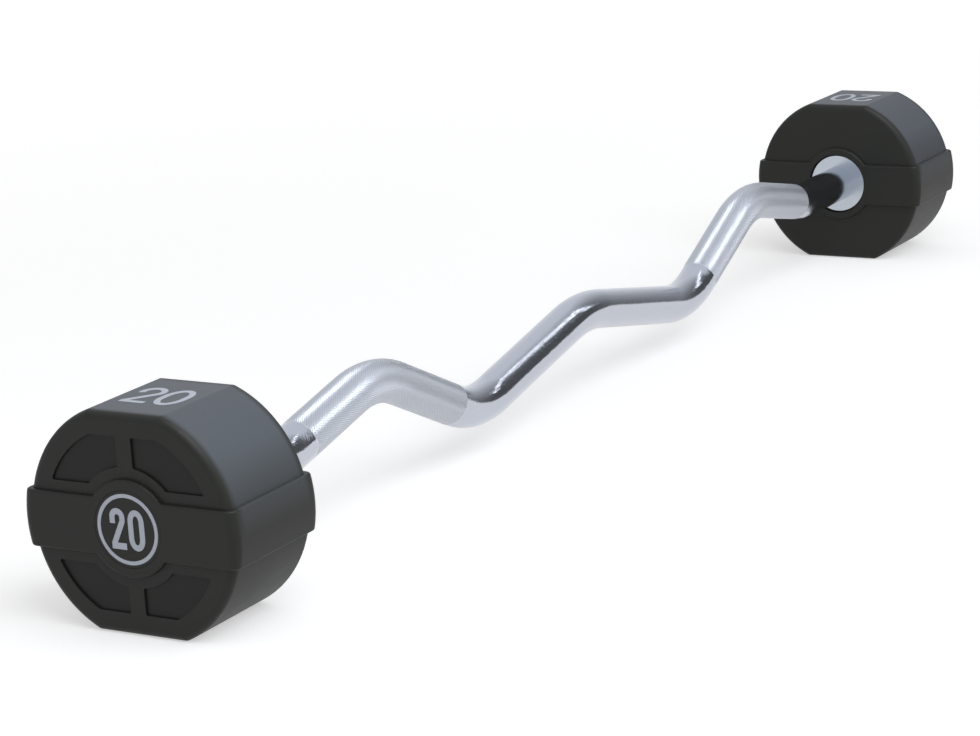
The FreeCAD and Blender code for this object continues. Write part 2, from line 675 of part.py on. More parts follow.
make_bar()
for head_side in SIDES:
    for make_piece in (make_casing, make_core, make_collar, make_key, make_clamp_washer,
                       make_lock_washer, make_bolt, make_cap, make_cap_ring):
        make_piece(head_side)
doc.recompute()
check_document()
os.makedirs("parts", exist_ok=True)
for sub_part in sub_parts:
    sub_part.Shape.exportStep(f"parts/{sub_part.Label}.step")
    print(f"{sub_part.Label}: {sub_part.Shape.Volume / 1000:.2f} cm3")
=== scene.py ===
import math
from typing import NamedTuple

import bmesh
import bpy
from bpy.props import FloatProperty, FloatVectorProperty, IntProperty, PointerProperty
from bpy.types import Operator, Panel, PropertyGroup
from mathutils import Matrix, Quaternion, Vector


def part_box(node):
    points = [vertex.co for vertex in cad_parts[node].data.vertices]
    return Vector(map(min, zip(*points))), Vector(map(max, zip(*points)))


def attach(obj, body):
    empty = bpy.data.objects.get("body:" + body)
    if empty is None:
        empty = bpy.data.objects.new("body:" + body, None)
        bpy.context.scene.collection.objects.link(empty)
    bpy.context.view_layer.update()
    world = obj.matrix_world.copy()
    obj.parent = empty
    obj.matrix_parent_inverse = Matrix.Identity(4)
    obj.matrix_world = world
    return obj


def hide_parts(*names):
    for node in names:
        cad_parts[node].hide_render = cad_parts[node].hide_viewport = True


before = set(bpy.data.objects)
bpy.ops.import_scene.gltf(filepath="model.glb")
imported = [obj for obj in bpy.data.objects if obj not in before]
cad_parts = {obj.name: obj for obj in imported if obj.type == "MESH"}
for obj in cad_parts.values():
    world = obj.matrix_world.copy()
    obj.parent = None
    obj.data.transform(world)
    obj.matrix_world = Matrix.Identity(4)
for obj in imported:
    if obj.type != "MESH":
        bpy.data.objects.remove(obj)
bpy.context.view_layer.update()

bl_info = {
    "name": "Fixed-weight curl bar",
    "version": (1, 0, 0),
    "blender": (4, 5, 0),
    "location": "3D View > Sidebar > Curl bar",
    "description": "Dresses the curl bar: bent bar, knurled grips, weight figures, finishes and stage",
    "category": "Object",
}

BODY = "root"
SIDES = {"left": -1, "right": 1}
BAR_LOW, BAR_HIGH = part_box("curl_bar")
COLLAR_LOW, COLLAR_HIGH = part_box("right_stop_collar")
HEAD_LOW, HEAD_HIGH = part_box("right_urethane_casing")
CAP_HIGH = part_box("right_end_cap")[1]
AXIS_HEIGHT = float(COLLAR_LOW[2] + COLLAR_HIGH[2]) / 2
SHOULDER_AT = float(COLLAR_LOW[0])
BAR_END = float(BAR_HIGH[0])
BAR_DIAMETER = float(BAR_HIGH[1] - BAR_LOW[1])
CAP_FACE = float(CAP_HIGH[0])
HEAD_INNER = float(HEAD_LOW[0])
HEAD_OUTER = float(HEAD_HIGH[0])
HEAD_MIDDLE = (HEAD_INNER + HEAD_OUTER) / 2
HEAD_TOP = float(HEAD_HIGH[2])

# Digits shown of a length, steps in a figure's arcs, and edges round the stage's round pieces
LENGTH_DIGITS = 5
ARC_STEPS = 28
ROUND_SEGMENTS = 96
# Half a side of a flat sheet before it is stretched, and the value that noise lies round
HALF_SIDE = 0.5
NOISE_MIDDLE = 0.5
WHITE = (1, 1, 1, 1)
# Sockets of a Mix node: its factor, its two colours and the colour that it gives
MIX_FACTOR, MIX_FIRST, MIX_SECOND, MIX_RESULT = 0, 6, 7, 2


class Pattern(NamedTuple):
    """A cloudy noise: its repeats in a metre along each axis, and its layers of finer noise."""
    repeats: tuple
    layers: int


def even(repeats, layers):
    """A pattern that repeats alike along each axis."""
    return Pattern((repeats, repeats, repeats), layers)


class Coat(NamedTuple):
    """How uneven a finish is: its darkest and lightest tones as shares of its colour, the change of its
    roughness, the depth of its relief in metres and the share of the relief that shows."""
    tone_shares: tuple
    dullness: float
    relief: float
    relief_share: float


MOULDING_CLOUD = even(28, 3)
MOULDING_GRAIN = even(2600, 2)
MOULDING_SCUFF = Pattern((60, 420, 420), 4)
POLISH_LINES = Pattern((30, 900, 900), 3)
POLISH_WAVES = Pattern((60, 220, 220), 2)
PLATING_GRAIN = even(620, 2)
KNURL_WEAR = even(90, 3)
COLLAR_CLOUD = even(120, 3)
INK_CLOUD = even(260, 3)
INK_GRAIN = even(2200, 2)
MACHINING_LINES = Pattern((1500, 120, 120), 3)
STRIP_LAYERS = 4
# Rings left by the lathe on a collar, in a metre of its radius
TURNING_RINGS = 3500
TURNING_LAYERS = 2

URETHANE_COAT = Coat(tone_shares=(0.85, 1.15), dullness=0.10, relief=0.00004, relief_share=0.35)
CHROME_COAT = Coat(tone_shares=(0.96, 1.04), dullness=0.10, relief=0.0001, relief_share=0.75)
COLLAR_COAT = Coat(tone_shares=(0.93, 1.05), dullness=0.12, relief=0.00003, relief_share=0.3)
INK_COAT = Coat(tone_shares=(0.92, 1.06), dullness=0.10, relief=0.00003, relief_share=0.3)
STEEL_COAT = Coat(tone_shares=(0.85, 1.10), dullness=0.15, relief=0.00004, relief_share=0.3)
# Tone range of the painted sheen: the paler colour painted on the heads' upper rims in place of light from
# above
PAINTED_SHEEN_TONE_SHARES = (0.95, 1.05)
LINE_RELIEF_SHARE = 0.4
# How much scuffs, grooves and wear change the roughness
SCUFF_DULLNESS = 0.06
GROOVE_DULLNESS = 0.12
WEAR_DULLNESS = 0.08


def length(name, description, default):
    """A length that a user may change, in metres."""
    return FloatProperty(
        name=name, description=description, default=default, unit="LENGTH", precision=LENGTH_DIGITS)


def fraction(name, description, default):
    """A value between nothing and one."""
    return FloatProperty(
        name=name, description=description, default=default, min=0, max=1, subtype="FACTOR")


def level(name, description, default):
    """A brightness, where one is white."""
    return FloatProperty(name=name, description=description, default=default, min=0)


def plain_number(name, description, default):
    """A plain number that a user may change."""
    return FloatProperty(name=name, description=description, default=default)


def angle(name, description, degrees):
    """An angle that a user may change."""
    return FloatProperty(name=name, description=description, default=math.radians(degrees), unit="ROTATION")


def colour(name, description, default):
    """A colour that a user may change."""
    return FloatVectorProperty(
        name=name, description=description, default=default, subtype="COLOR", min=0, max=1)


def place(name, description, default):
    """A point in the object's frame."""
    return FloatVectorProperty(name=name, description=description, default=default, subtype="TRANSLATION")


def area(name, description, default):
    """The two sides of a flat light, in metres."""
    return FloatVectorProperty(name=name, description=description, default=default, size=2, unit="LENGTH")


class BarSettings(PropertyGroup):
    """Sizes of the bent bar and of the knurl on its grips."""
    diameter: length("Diameter", "Diameter of the round bar", BAR_DIAMETER)
    middle_run: length("Middle run", "From the bar's middle to its inner bends, along X", 0.170)
    inner_run: length("Inner run", "From the inner to the outer bends, along X", 0.125)
    outer_run: length("Outer run", "From the outer to the end bends, along X", 0.109)
    middle_drop: length("Middle drop", "How far the middle bend lies below the bar's ends", 0.001)
    inner_drop: length("Inner drop", "How far the inner bends lie below the bar's ends", 0.036)
    outer_rise: length("Outer rise", "How far the outer bends lie above the bar's ends", 0.024)
    middle_radius: length("Middle radius", "Radius of the middle bend", 0.130)
    inner_radius: length("Inner radius", "Radius of the inner bends", 0.090)
    outer_radius: length("Outer radius", "Radius of the outer bends", 0.090)
    end_radius: length("End radius", "Radius of the end bends", 0.060)
    ring_spacing: length("Ring spacing", "Distance between rings of the mesh on a smooth bend", 0.003)
    segments: IntProperty(name="Segments", description="Mesh edges round the bar, in pairs", default=126)
    spigot_radius: length("Spigot radius", "Radius of the turned ends inside the heads", 0.0125)
    spigot_chamfer: length("Spigot chamfer", "Bevel at the tip of a turned end", 0.001)
    hole_radius: length("Hole radius", "Radius of the tapped hole in a turned end", 0.0061)
    hole_depth: length("Hole depth", "Depth of the tapped hole", 0.035)
    knurl_from: length("Knurl from", "Start of a grip, from the bar's middle along its curve", 0.2045)
    knurl_to: length("Knurl to", "End of a grip, from the bar's middle along its curve", 0.404)
    knurl_row: length("Knurl row", "Distance between rows of points along a grip", 0.00115)
    knurl_raise: length("Knurl raise", "How far the points stand above the smooth bar", 0.0001)
    knurl_sink: length("Knurl sink", "How far the grooves lie below the smooth bar", 0.0002)
    crease: angle("Crease", "Largest angle between faces that is shaded smooth", 30)


class CapFigureSettings(PropertyGroup):
    """Shape of the tall, narrow weight figure on an end cap."""
    height: length("Height", "Height of the figure", 0.0254)
    two_width: length("Width of the 2", "Width of the first digit", 0.0109)
    zero_width: length("Width of the 0", "Width of the second digit", 0.0117)
    gap: length("Gap", "Space between the digits", 0.0022)
    stroke: length("Stroke", "Width of the strokes", 0.0037)
    stem: length("Stem", "Straight end of the 2, below its bowl", 0.0041)
    hook: angle("Hook", "How far the bowl of the 2 runs past its side", 0)
    waist: length("Waist", "Straight side of the 2, below its bowl", 0.0015)
    foot: length("Foot", "Where the slope of the 2 meets its base", 0.0024)
    base: length("Base", "Height of the base of the 2", 0.0040)
    side: length("Side", "Straight side of the 0", 0.0100)


class FlatFigureSettings(PropertyGroup):
    """Shape of the wide weight figure on the flat on top of a head."""
    height: length("Height", "Height of the figure", 0.033)
    two_width: length("Width of the 2", "Width of the first digit", 0.0183)
    zero_width: length("Width of the 0", "Width of the second digit", 0.0195)
    gap: length("Gap", "Space between the digits", 0.0022)
    stroke: length("Stroke", "Width of the strokes", 0.0041)
    stem: length("Stem", "Straight end of the 2, below its bowl", 0)
    hook: angle("Hook", "How far the bowl of the 2 runs past its side", 22)
    waist: length("Waist", "Straight side of the 2, below its bowl", 0)
    foot: length("Foot", "Where the slope of the 2 meets its base", 0.0029)
    base: length("Base", "Height of the base of the 2", 0.0037)
    side: length("Side", "Straight side of the 0", 0.004)


class FinishSettings(PropertyGroup):
    """Colours and gloss of the surfaces."""
    urethane: colour("Urethane", "Colour of the heads' faces", (0.0175, 0.0185, 0.0155))
    # Painted shade: a darker colour painted on the pockets' floors, where shade falls, with the depths and
    # radius that it covers
    pocket: colour("Pocket", "Colour of the pockets' floors", (0.0085, 0.0095, 0.0075))
    pocket_from: length("Pocket from", "Least depth of the pockets' floors below the band's face", 0.0036)
    pocket_to: length("Pocket to", "Greatest depth of the pockets' floors below the band's face", 0.0055)
    pocket_fade: length("Pocket fade", "Width of the change to the colour of the pockets' floors", 0.0006)
    pocket_radius: length("Pocket radius", "Distance from a head's axis that no pocket passes", 0.063)
    # Painted sheen: a paler colour painted on the heads' rims towards their tops, standing in for light
    # from above, with where it starts, fades and is palest
    painted_sheen: colour("Bloom", "Colour of the heads' rims near their tops", (0.088, 0.099, 0.114))
    painted_sheen_edge: length("Bloom edge", "How far from the heads' faces the paler rim starts", 0.0065)
    painted_sheen_fade: length("Bloom fade", "How far along a head the rim grows paler", 0.005)
    painted_sheen_low: length("Bloom low", "How far below the heads' axis the rim is as dark as the faces", 0.0)
    painted_sheen_high: length("Bloom high", "How far above the heads' axis the rim is palest", 0.045)
    urethane_roughness: fraction("Urethane roughness", "Dullness of the moulded heads", 0.47)
    urethane_gloss: fraction("Urethane gloss", "Strength of the heads' reflections", 0.22)
    chrome: colour("Chrome", "Colour of the plated bar", (0.5, 0.52, 0.578))
    chrome_roughness: fraction("Chrome roughness", "Dullness of the smooth bar", 0.07)
    knurl: colour("Knurl", "Colour of the points of the knurl", (0.60, 0.625, 0.68))
    # Painted shade: the darker colour painted in the knurl's grooves
    groove: colour("Groove", "Colour in the grooves of the knurl", (0.39, 0.405, 0.445))
    knurl_roughness: fraction("Knurl roughness", "Dullness of the knurled grips", 0.26)
    collar: colour("Collar", "Colour of the plated collars", (0.48, 0.52, 0.575))
    collar_roughness: fraction("Collar roughness", "Dullness of the plated collars", 0.2)
    ink: colour("Ink", "Colour of the figures and rings", (0.46, 0.49, 0.56))
    ink_roughness: fraction("Ink roughness", "Dullness of the figures and rings", 0.5)
    steel: colour("Steel", "Colour of the fasteners inside the heads", (0.50, 0.50, 0.52))
    steel_roughness: fraction("Steel roughness", "Dullness of the fasteners", 0.35)
    core: colour("Core", "Colour of the weights inside the heads", (0.16, 0.16, 0.165))
    core_roughness: fraction("Core roughness", "Dullness of the weights", 0.5)
    figure_raise: length("Figure raise", "How far a figure stands above its surface", 0.00015)
    figure_sink: length("Figure sink", "How far a figure reaches into its surface", 0.0001)


class StageSettings(PropertyGroup):
    """Camera, floor and light."""
    camera_at: place("Camera", "Where the camera stands", (-1.8937, -1.0337, 0.5799))
    camera_aim: place("Aim", "The point at the middle of the view", (-0.05831, 0.04879, 0.03256))
    camera_roll: angle("Roll", "Tilt of the camera about its view", -3.53)
    lens: plain_number("Lens", "Focal length in millimetres", 108.15)
    floor_radius: length("Floor radius", "Radius of the floor", 14.0)
    floor_drop: length("Floor drop", "How far the floor lies below the heads", 0.0002)
    floor: colour("Floor", "Colour of the floor", (0.7, 0.7, 0.7))
    floor_near: level("Floor near", "Light added to the floor where it is seen, under the bar", 0.43)
    floor_far: level("Floor far", "Light added to the floor where it is seen, far from the bar", 0.7)
    floor_blend: length("Floor blend", "How far from the bar's middle the added light grows", 2.5)
    ambient: level("Ambient", "Brightness of the light from all round", 0.48)
    softbox_at: place("Softbox", "Middle of the broad light above", (-0.6, -1.3, 1.55))
    softbox_size: area("Softbox size", "Length and width of the broad light", (2.2, 1.6))
    softbox_level: level("Softbox level", "Brightness of the broad light", 2.5)
    strip_foot: place("Strip foot", "Lower end of the bright strip that gloss shows", (1.39, -0.86, 0.68))
    strip_head: place("Strip head", "Upper end of the bright strip", (1.01, -0.49, 1.65))
    strip_width: length("Strip width", "Width of the bright strip, with its soft edges", 0.14)
    strip_level: level("Strip level", "Brightness along the middle of the bright strip", 12.0)
    strip_patches: plain_number("Strip patches", "Light and dim patches in a metre", 34.0)
    strip_dim_share: fraction("Strip dim share", "Part of the strip's pattern that stays dark", 0.46)
    strip_contrast: plain_number("Strip contrast", "How sharply the strip's patches end", 6.0)
    overhead_at: place("Overhead", "Middle of the light overhead that gloss shows", (-0.5, -0.9, 2.3))
    overhead_size: area("Overhead size", "Length and width of the light overhead", (2.0, 0.8))
    overhead_level: level("Overhead level", "Brightness of the light overhead", 8.5)
    light: colour("Light", "Colour of the studio's light", (0.93, 0.96, 1.0))
    room_radius: length("Room radius", "Radius of the round room that gloss shows", 3.5)
    room_dark: level("Room dark", "Brightness of the dark corner at the front right", 0.115)
    room_light: level("Room light", "Brightness of the rest of the room", 0.95)
    room_dark_at: length("Dark at", "How far in front of the bar the corner is darkest", 1.85)
    room_light_at: length("Light at", "How far behind the bar the corner has ended", 1.2)
    room_light_height: length("Light height", "Height at which the corner has ended", 3.3)
    room_light_rise: plain_number("Light rise", "How steeply the corner grows light upwards", 6.0)
    room_dark_from: length("Dark from", "How far to the right the dark corner starts", 2.1)
    room_blend: length("Room blend", "Width of a change from light to dark in the room", 0.4)
    bright_from: length("Bright from", "Left edge of the bright corner of the room", 0.5)
    bright_front: length("Bright front", "How far in front of the bar the bright corner starts", 2.1)
    bright_level: level("Bright level", "Brightness that the bright corner gains in a metre outwards", 2.4)
    wall_at: length("Wall at", "Where the low walls in front and behind start", 2.85)
    wall_height: length("Wall height", "Height of the low walls", 1.5)
    wall_fade: length("Wall fade", "How far below their tops the low walls are darkest", 1.2)


class CurlBarSettings(PropertyGroup):
    """All that a user may change."""
    bar: PointerProperty(type=BarSettings)
    cap_figure: PointerProperty(type=CapFigureSettings)
    flat_figure: PointerProperty(type=FlatFigureSettings)
    finish: PointerProperty(type=FinishSettings)
    stage: PointerProperty(type=StageSettings)


class Field:
    """A shader value, whose arithmetic adds Math nodes."""

    def __init__(self, sheet, socket):
        self.sheet = sheet
        self.socket = socket

    def join(self, operation, first, second):
        return self.sheet.node("ShaderNodeMath", {"operation": operation}, {0: first, 1: second})

    def __add__(self, other):
        return self.join("ADD", self, other)

    def __radd__(self, other):
        return self.join("ADD", other, self)

    def __sub__(self, other):
        return self.join("SUBTRACT", self, other)

    def __rsub__(self, other):
        return self.join("SUBTRACT", other, self)

    def __mul__(self, other):
        return self.join("MULTIPLY", self, other)

    def __rmul__(self, other):
        return self.join("MULTIPLY", other, self)

    def __truediv__(self, other):
        return self.join("DIVIDE", self, other)

    def __pow__(self, other):
        return self.join("POWER", self, other)


class NodeSheet:
    """A node tree that is written from the start."""

    def __init__(self, tree):
        self.tree = tree
        tree.nodes.clear()

    def node(self, kind, settings=None, sockets=None, output=0):
        """Add a node: first its settings, then the values or links of its sockets."""
        made = self.tree.nodes.new(kind)
        for name, value in (settings or {}).items():
            setattr(made, name, value)
        for key, value in (sockets or {}).items():
            if isinstance(value, Field):
                self.tree.links.new(value.socket, made.inputs[key])
            else:
                made.inputs[key].default_value = value
        return Field(self, made.outputs[output]) if made.outputs else None

    def position(self):
        """The place on the object, in metres."""
        return self.node("ShaderNodeTexCoord", output="Object")

    def part_of(self, vector, axis):
        """One coordinate of a place."""
        return self.node("ShaderNodeSeparateXYZ", sockets={"Vector": vector}, output=axis)

    def clamped(self, value):
        """A value held between nothing and one."""
        return self.node("ShaderNodeClamp", sockets={"Value": value})

    def axis_distance(self, vector):
        """How far a place lies from the axis of the heads."""
        across = self.part_of(vector, "Y")
        rise = self.part_of(vector, "Z") - AXIS_HEIGHT
        return (across * across + rise * rise) ** 0.5

    def unsigned(self, value):
        """A value without its sign."""
        return self.node("ShaderNodeMath", {"operation": "ABSOLUTE"}, {0: value})

    def pattern(self, pattern):
        """Cloudy noise round a half, by its place on the object."""
        place_scaled = {"Vector": self.position(), "Scale": pattern.repeats}
        spot = self.node("ShaderNodeMapping", sockets=place_scaled)
        layered = {"Vector": spot, "Scale": 1, "Detail": pattern.layers}
        return self.node("ShaderNodeTexNoise", sockets=layered)

    def blend(self, factor, first, second):
        """A colour between two others."""
        parts = {MIX_FACTOR: factor, MIX_FIRST: first, MIX_SECOND: second}
        return self.node("ShaderNodeMix", {"data_type": "RGBA"}, parts, MIX_RESULT)

    def uneven(self, factor, tint, tone_shares):
        """A colour between its darkest and its lightest tone."""
        dark, light = (solid_colour([value * part for value in tint]) for part in tone_shares)
        return self.blend(factor, dark, light)

    def relief(self, height, coat):
        """A surface normal that follows a height."""
        depths = {"Height": height, "Distance": coat.relief, "Strength": coat.relief_share}
        return self.node("ShaderNodeBump", sockets=depths)

    def surface(self, **sockets):
        """The surface shader, led to the material's output."""
        shader = self.node("ShaderNodeBsdfPrincipled", sockets=sockets)
        self.node("ShaderNodeOutputMaterial", sockets={"Surface": shader})

    def glow(self, tint, strength):
        """A light of its own, led to the material's output."""
        light = {"Color": solid_colour(tint), "Strength": strength}
        shader = self.node("ShaderNodeEmission", sockets=light)
        self.node("ShaderNodeOutputMaterial", sockets={"Surface": shader})


def new_material(name):
    """Start a material and its node sheet."""
    material = bpy.data.materials.new(name)
    material.use_nodes = True
    return material, NodeSheet(material.node_tree)


def solid_colour(values):
    """A colour socket's four values."""
    return (*values, 1)


def urethane_material(finish):
    """Satin black moulding: a fine grain, a faint cloudiness, painted shade on the pockets' floors and a
    painted sheen that makes the upper rim paler.
    """
    material, sheet = new_material("satin_urethane")
    spot = sheet.position()
    along = sheet.unsigned(sheet.part_of(spot, "X"))
    # Painted sheen: a mask that grows towards the top of each rim, away from the faces
    inward = sheet.clamped((along - HEAD_INNER - finish.painted_sheen_edge) / finish.painted_sheen_fade)
    outward = sheet.clamped((HEAD_OUTER - finish.painted_sheen_edge - along) / finish.painted_sheen_fade)
    rise = sheet.part_of(spot, "Z") - (AXIS_HEIGHT - finish.painted_sheen_low)
    painted_sheen = inward * outward * sheet.clamped(rise / (finish.painted_sheen_low + finish.painted_sheen_high))
    # Painted shade: a mask of the pockets' floors, between two depths and inside a radius from the axis
    depth = HEAD_OUTER - along
    sunk = sheet.clamped((depth - finish.pocket_from) / finish.pocket_fade)
    shallow = sheet.clamped((finish.pocket_to - depth) / finish.pocket_fade)
    inside = sheet.clamped((finish.pocket_radius - sheet.axis_distance(spot)) / finish.pocket_fade)
    cloud = sheet.pattern(MOULDING_CLOUD)
    scuff = sheet.pattern(MOULDING_SCUFF)
    plain = sheet.uneven(cloud, finish.urethane, URETHANE_COAT.tone_shares)
    # The pockets' floors take the darker colour of the painted shade
    face = sheet.blend(sunk * shallow * inside, plain, solid_colour(finish.pocket))
    # Colour of the painted sheen on the upper rim
    rim = sheet.uneven(cloud, finish.painted_sheen, PAINTED_SHEEN_TONE_SHARES)
    dull = (finish.urethane_roughness + URETHANE_COAT.dullness * (cloud - NOISE_MIDDLE)
            + SCUFF_DULLNESS * (scuff - NOISE_MIDDLE))
    # Base colour: the plain moulding, with painted shade in the pockets and painted sheen on the upper rims
    sheet.surface(**{
        "Base Color": sheet.blend(painted_sheen, face, rim), "Roughness": dull,
        "Specular IOR Level": finish.urethane_gloss,
        "Normal": sheet.relief(sheet.pattern(MOULDING_GRAIN), URETHANE_COAT)})
    return material


def chrome_material(finish):
    """Bright plating with fine polishing lines along the bar."""
    material, sheet = new_material("polished_chrome")
    lines = sheet.pattern(POLISH_LINES)
    height = LINE_RELIEF_SHARE * lines + sheet.pattern(POLISH_WAVES) + sheet.pattern(PLATING_GRAIN)
    sheet.surface(**{
        "Base Color": sheet.uneven(lines, finish.chrome, CHROME_COAT.tone_shares), "Metallic": 1,
        "Roughness": finish.chrome_roughness + CHROME_COAT.dullness * lines,
        "Normal": sheet.relief(height, CHROME_COAT)})
    return material


def knurl_material(finish):
    """Plated knurl: duller than the smooth bar, and darker in its grooves with painted shade."""
    material, sheet = new_material("knurled_chrome")
    depth = sheet.node("ShaderNodeAttribute", {"attribute_name": "groove"}, output="Fac")
    wear = sheet.pattern(KNURL_WEAR)
    # Painted shade: the grooves take the darker groove colour
    tone = sheet.blend(depth, solid_colour(finish.knurl), solid_colour(finish.groove))
    dull = finish.knurl_roughness + GROOVE_DULLNESS * depth + WEAR_DULLNESS * (wear - NOISE_MIDDLE)
    sheet.surface(**{"Base Color": tone, "Metallic": 1, "Roughness": dull})
    return material


def collar_material(finish):
    """Plated disc with fine turning rings round the bar's axis."""
    material, sheet = new_material("turned_plating")
    turns = sheet.axis_distance(sheet.position()) * TURNING_RINGS
    rings = sheet.node("ShaderNodeTexNoise", {"noise_dimensions": "1D"},
                       {"W": turns, "Scale": 1, "Detail": TURNING_LAYERS})
    cloud = sheet.pattern(COLLAR_CLOUD)
    sheet.surface(**{
        "Base Color": sheet.uneven(cloud, finish.collar, COLLAR_COAT.tone_shares), "Metallic": 1,
        "Roughness": finish.collar_roughness + COLLAR_COAT.dullness * (rings - NOISE_MIDDLE),
        "Normal": sheet.relief(rings, COLLAR_COAT)})
    return material


def ink_material(finish):
    """Pale grey fill with a faintly uneven coat."""
    material, sheet = new_material("grey_inlay")
    cloud = sheet.pattern(INK_CLOUD)
    sheet.surface(**{
        "Base Color": sheet.uneven(cloud, finish.ink, INK_COAT.tone_shares),
        "Roughness": finish.ink_roughness + INK_COAT.dullness * (cloud - NOISE_MIDDLE),
        "Normal": sheet.relief(sheet.pattern(INK_GRAIN), INK_COAT)})
    return material


def steel_material(name, tint, roughness):
    """Machined steel with a faint turning pattern."""
    material, sheet = new_material(name)
    lines = sheet.pattern(MACHINING_LINES)
    sheet.surface(**{
        "Base Color": sheet.uneven(lines, tint, STEEL_COAT.tone_shares), "Metallic": 1,
        "Roughness": roughness + STEEL_COAT.dullness * (lines - NOISE_MIDDLE),
        "Normal": sheet.relief(lines, STEEL_COAT)})
    return material


def add_piece(name, mesh, materials):
    """Put a finished mesh into the scene at the origin."""
    piece = bpy.data.objects.new(name, mesh)
    bpy.context.scene.collection.objects.link(piece)
    for material in materials:
        mesh.materials.append(material)
    return piece


def mesh_from(sculpt, name):
    """Turn a bmesh into a mesh, with its faces pointing out."""
    bmesh.ops.recalc_face_normals(sculpt, faces=sculpt.faces[:])
    mesh = bpy.data.meshes.new(name)
    sculpt.to_mesh(mesh)
    sculpt.free()
    return mesh


def split_made(made):
    """Pick the new points, and the edges between them, out of what an extrusion made."""
    verts = [item for item in made if isinstance(item, bmesh.types.BMVert)]
    fresh = set(verts)
    edges = [item for item in made if isinstance(item, bmesh.types.BMEdge) and fresh.issuperset(item.verts)]
    return verts, edges


def draw_out(sculpt, edges):
    """Extrude edges and give the new points and edges."""
    return split_made(bmesh.ops.extrude_edge_only(sculpt, edges=edges)["geom"])


def bar_course(bar):
    """List the bar's runs and bends from left to right: length, turn and bend radius."""
    outer_at = bar.middle_run + bar.inner_run
    end_at = outer_at + bar.outer_run
    half = [(SHOULDER_AT, 0), (end_at, 0), (outer_at, bar.outer_rise), (bar.middle_run, -bar.inner_drop)]
    half_radii = [bar.end_radius, bar.outer_radius, bar.inner_radius]
    left = [Vector((-along, up)) for along, up in half]
    right = [Vector(point) for point in half[::-1]]
    corners = left + [Vector((0, -bar.middle_drop))] + right
    radii = half_radii + [bar.middle_radius] + half_radii[::-1]
    steps = [after - before for before, after in zip(corners, corners[1:])]
    headings = [math.atan2(step.y, step.x) for step in steps]
    turns = [after - before for before, after in zip(headings, headings[1:])]
    tangents = [0] + [radius * math.tan(abs(turn) / 2) for turn, radius in zip(turns, radii)] + [0]
    course = []
    for number, step in enumerate(steps):
        course.append((step.length - tangents[number] - tangents[number + 1], 0, 0))
        if number < len(turns):
            course.append((abs(turns[number]) * radii[number], turns[number], radii[number]))
    return course


def cut_course(course, marks):
    """Cut runs and bends where grips begin and end, and say which pieces are knurled."""
    pieces = []
    done = 0
    for piece_length, turn, radius in course:
        end = done + piece_length
        stops = [done] + [mark for mark in marks if done < mark < end] + [end]
        for start, stop in zip(stops, stops[1:]):
            passed = sum(mark <= start for mark in marks)
            part = (stop - start) / piece_length
            pieces.append((stop - start, turn * part, radius, passed % 2 == 1))
        done = end
    return pieces


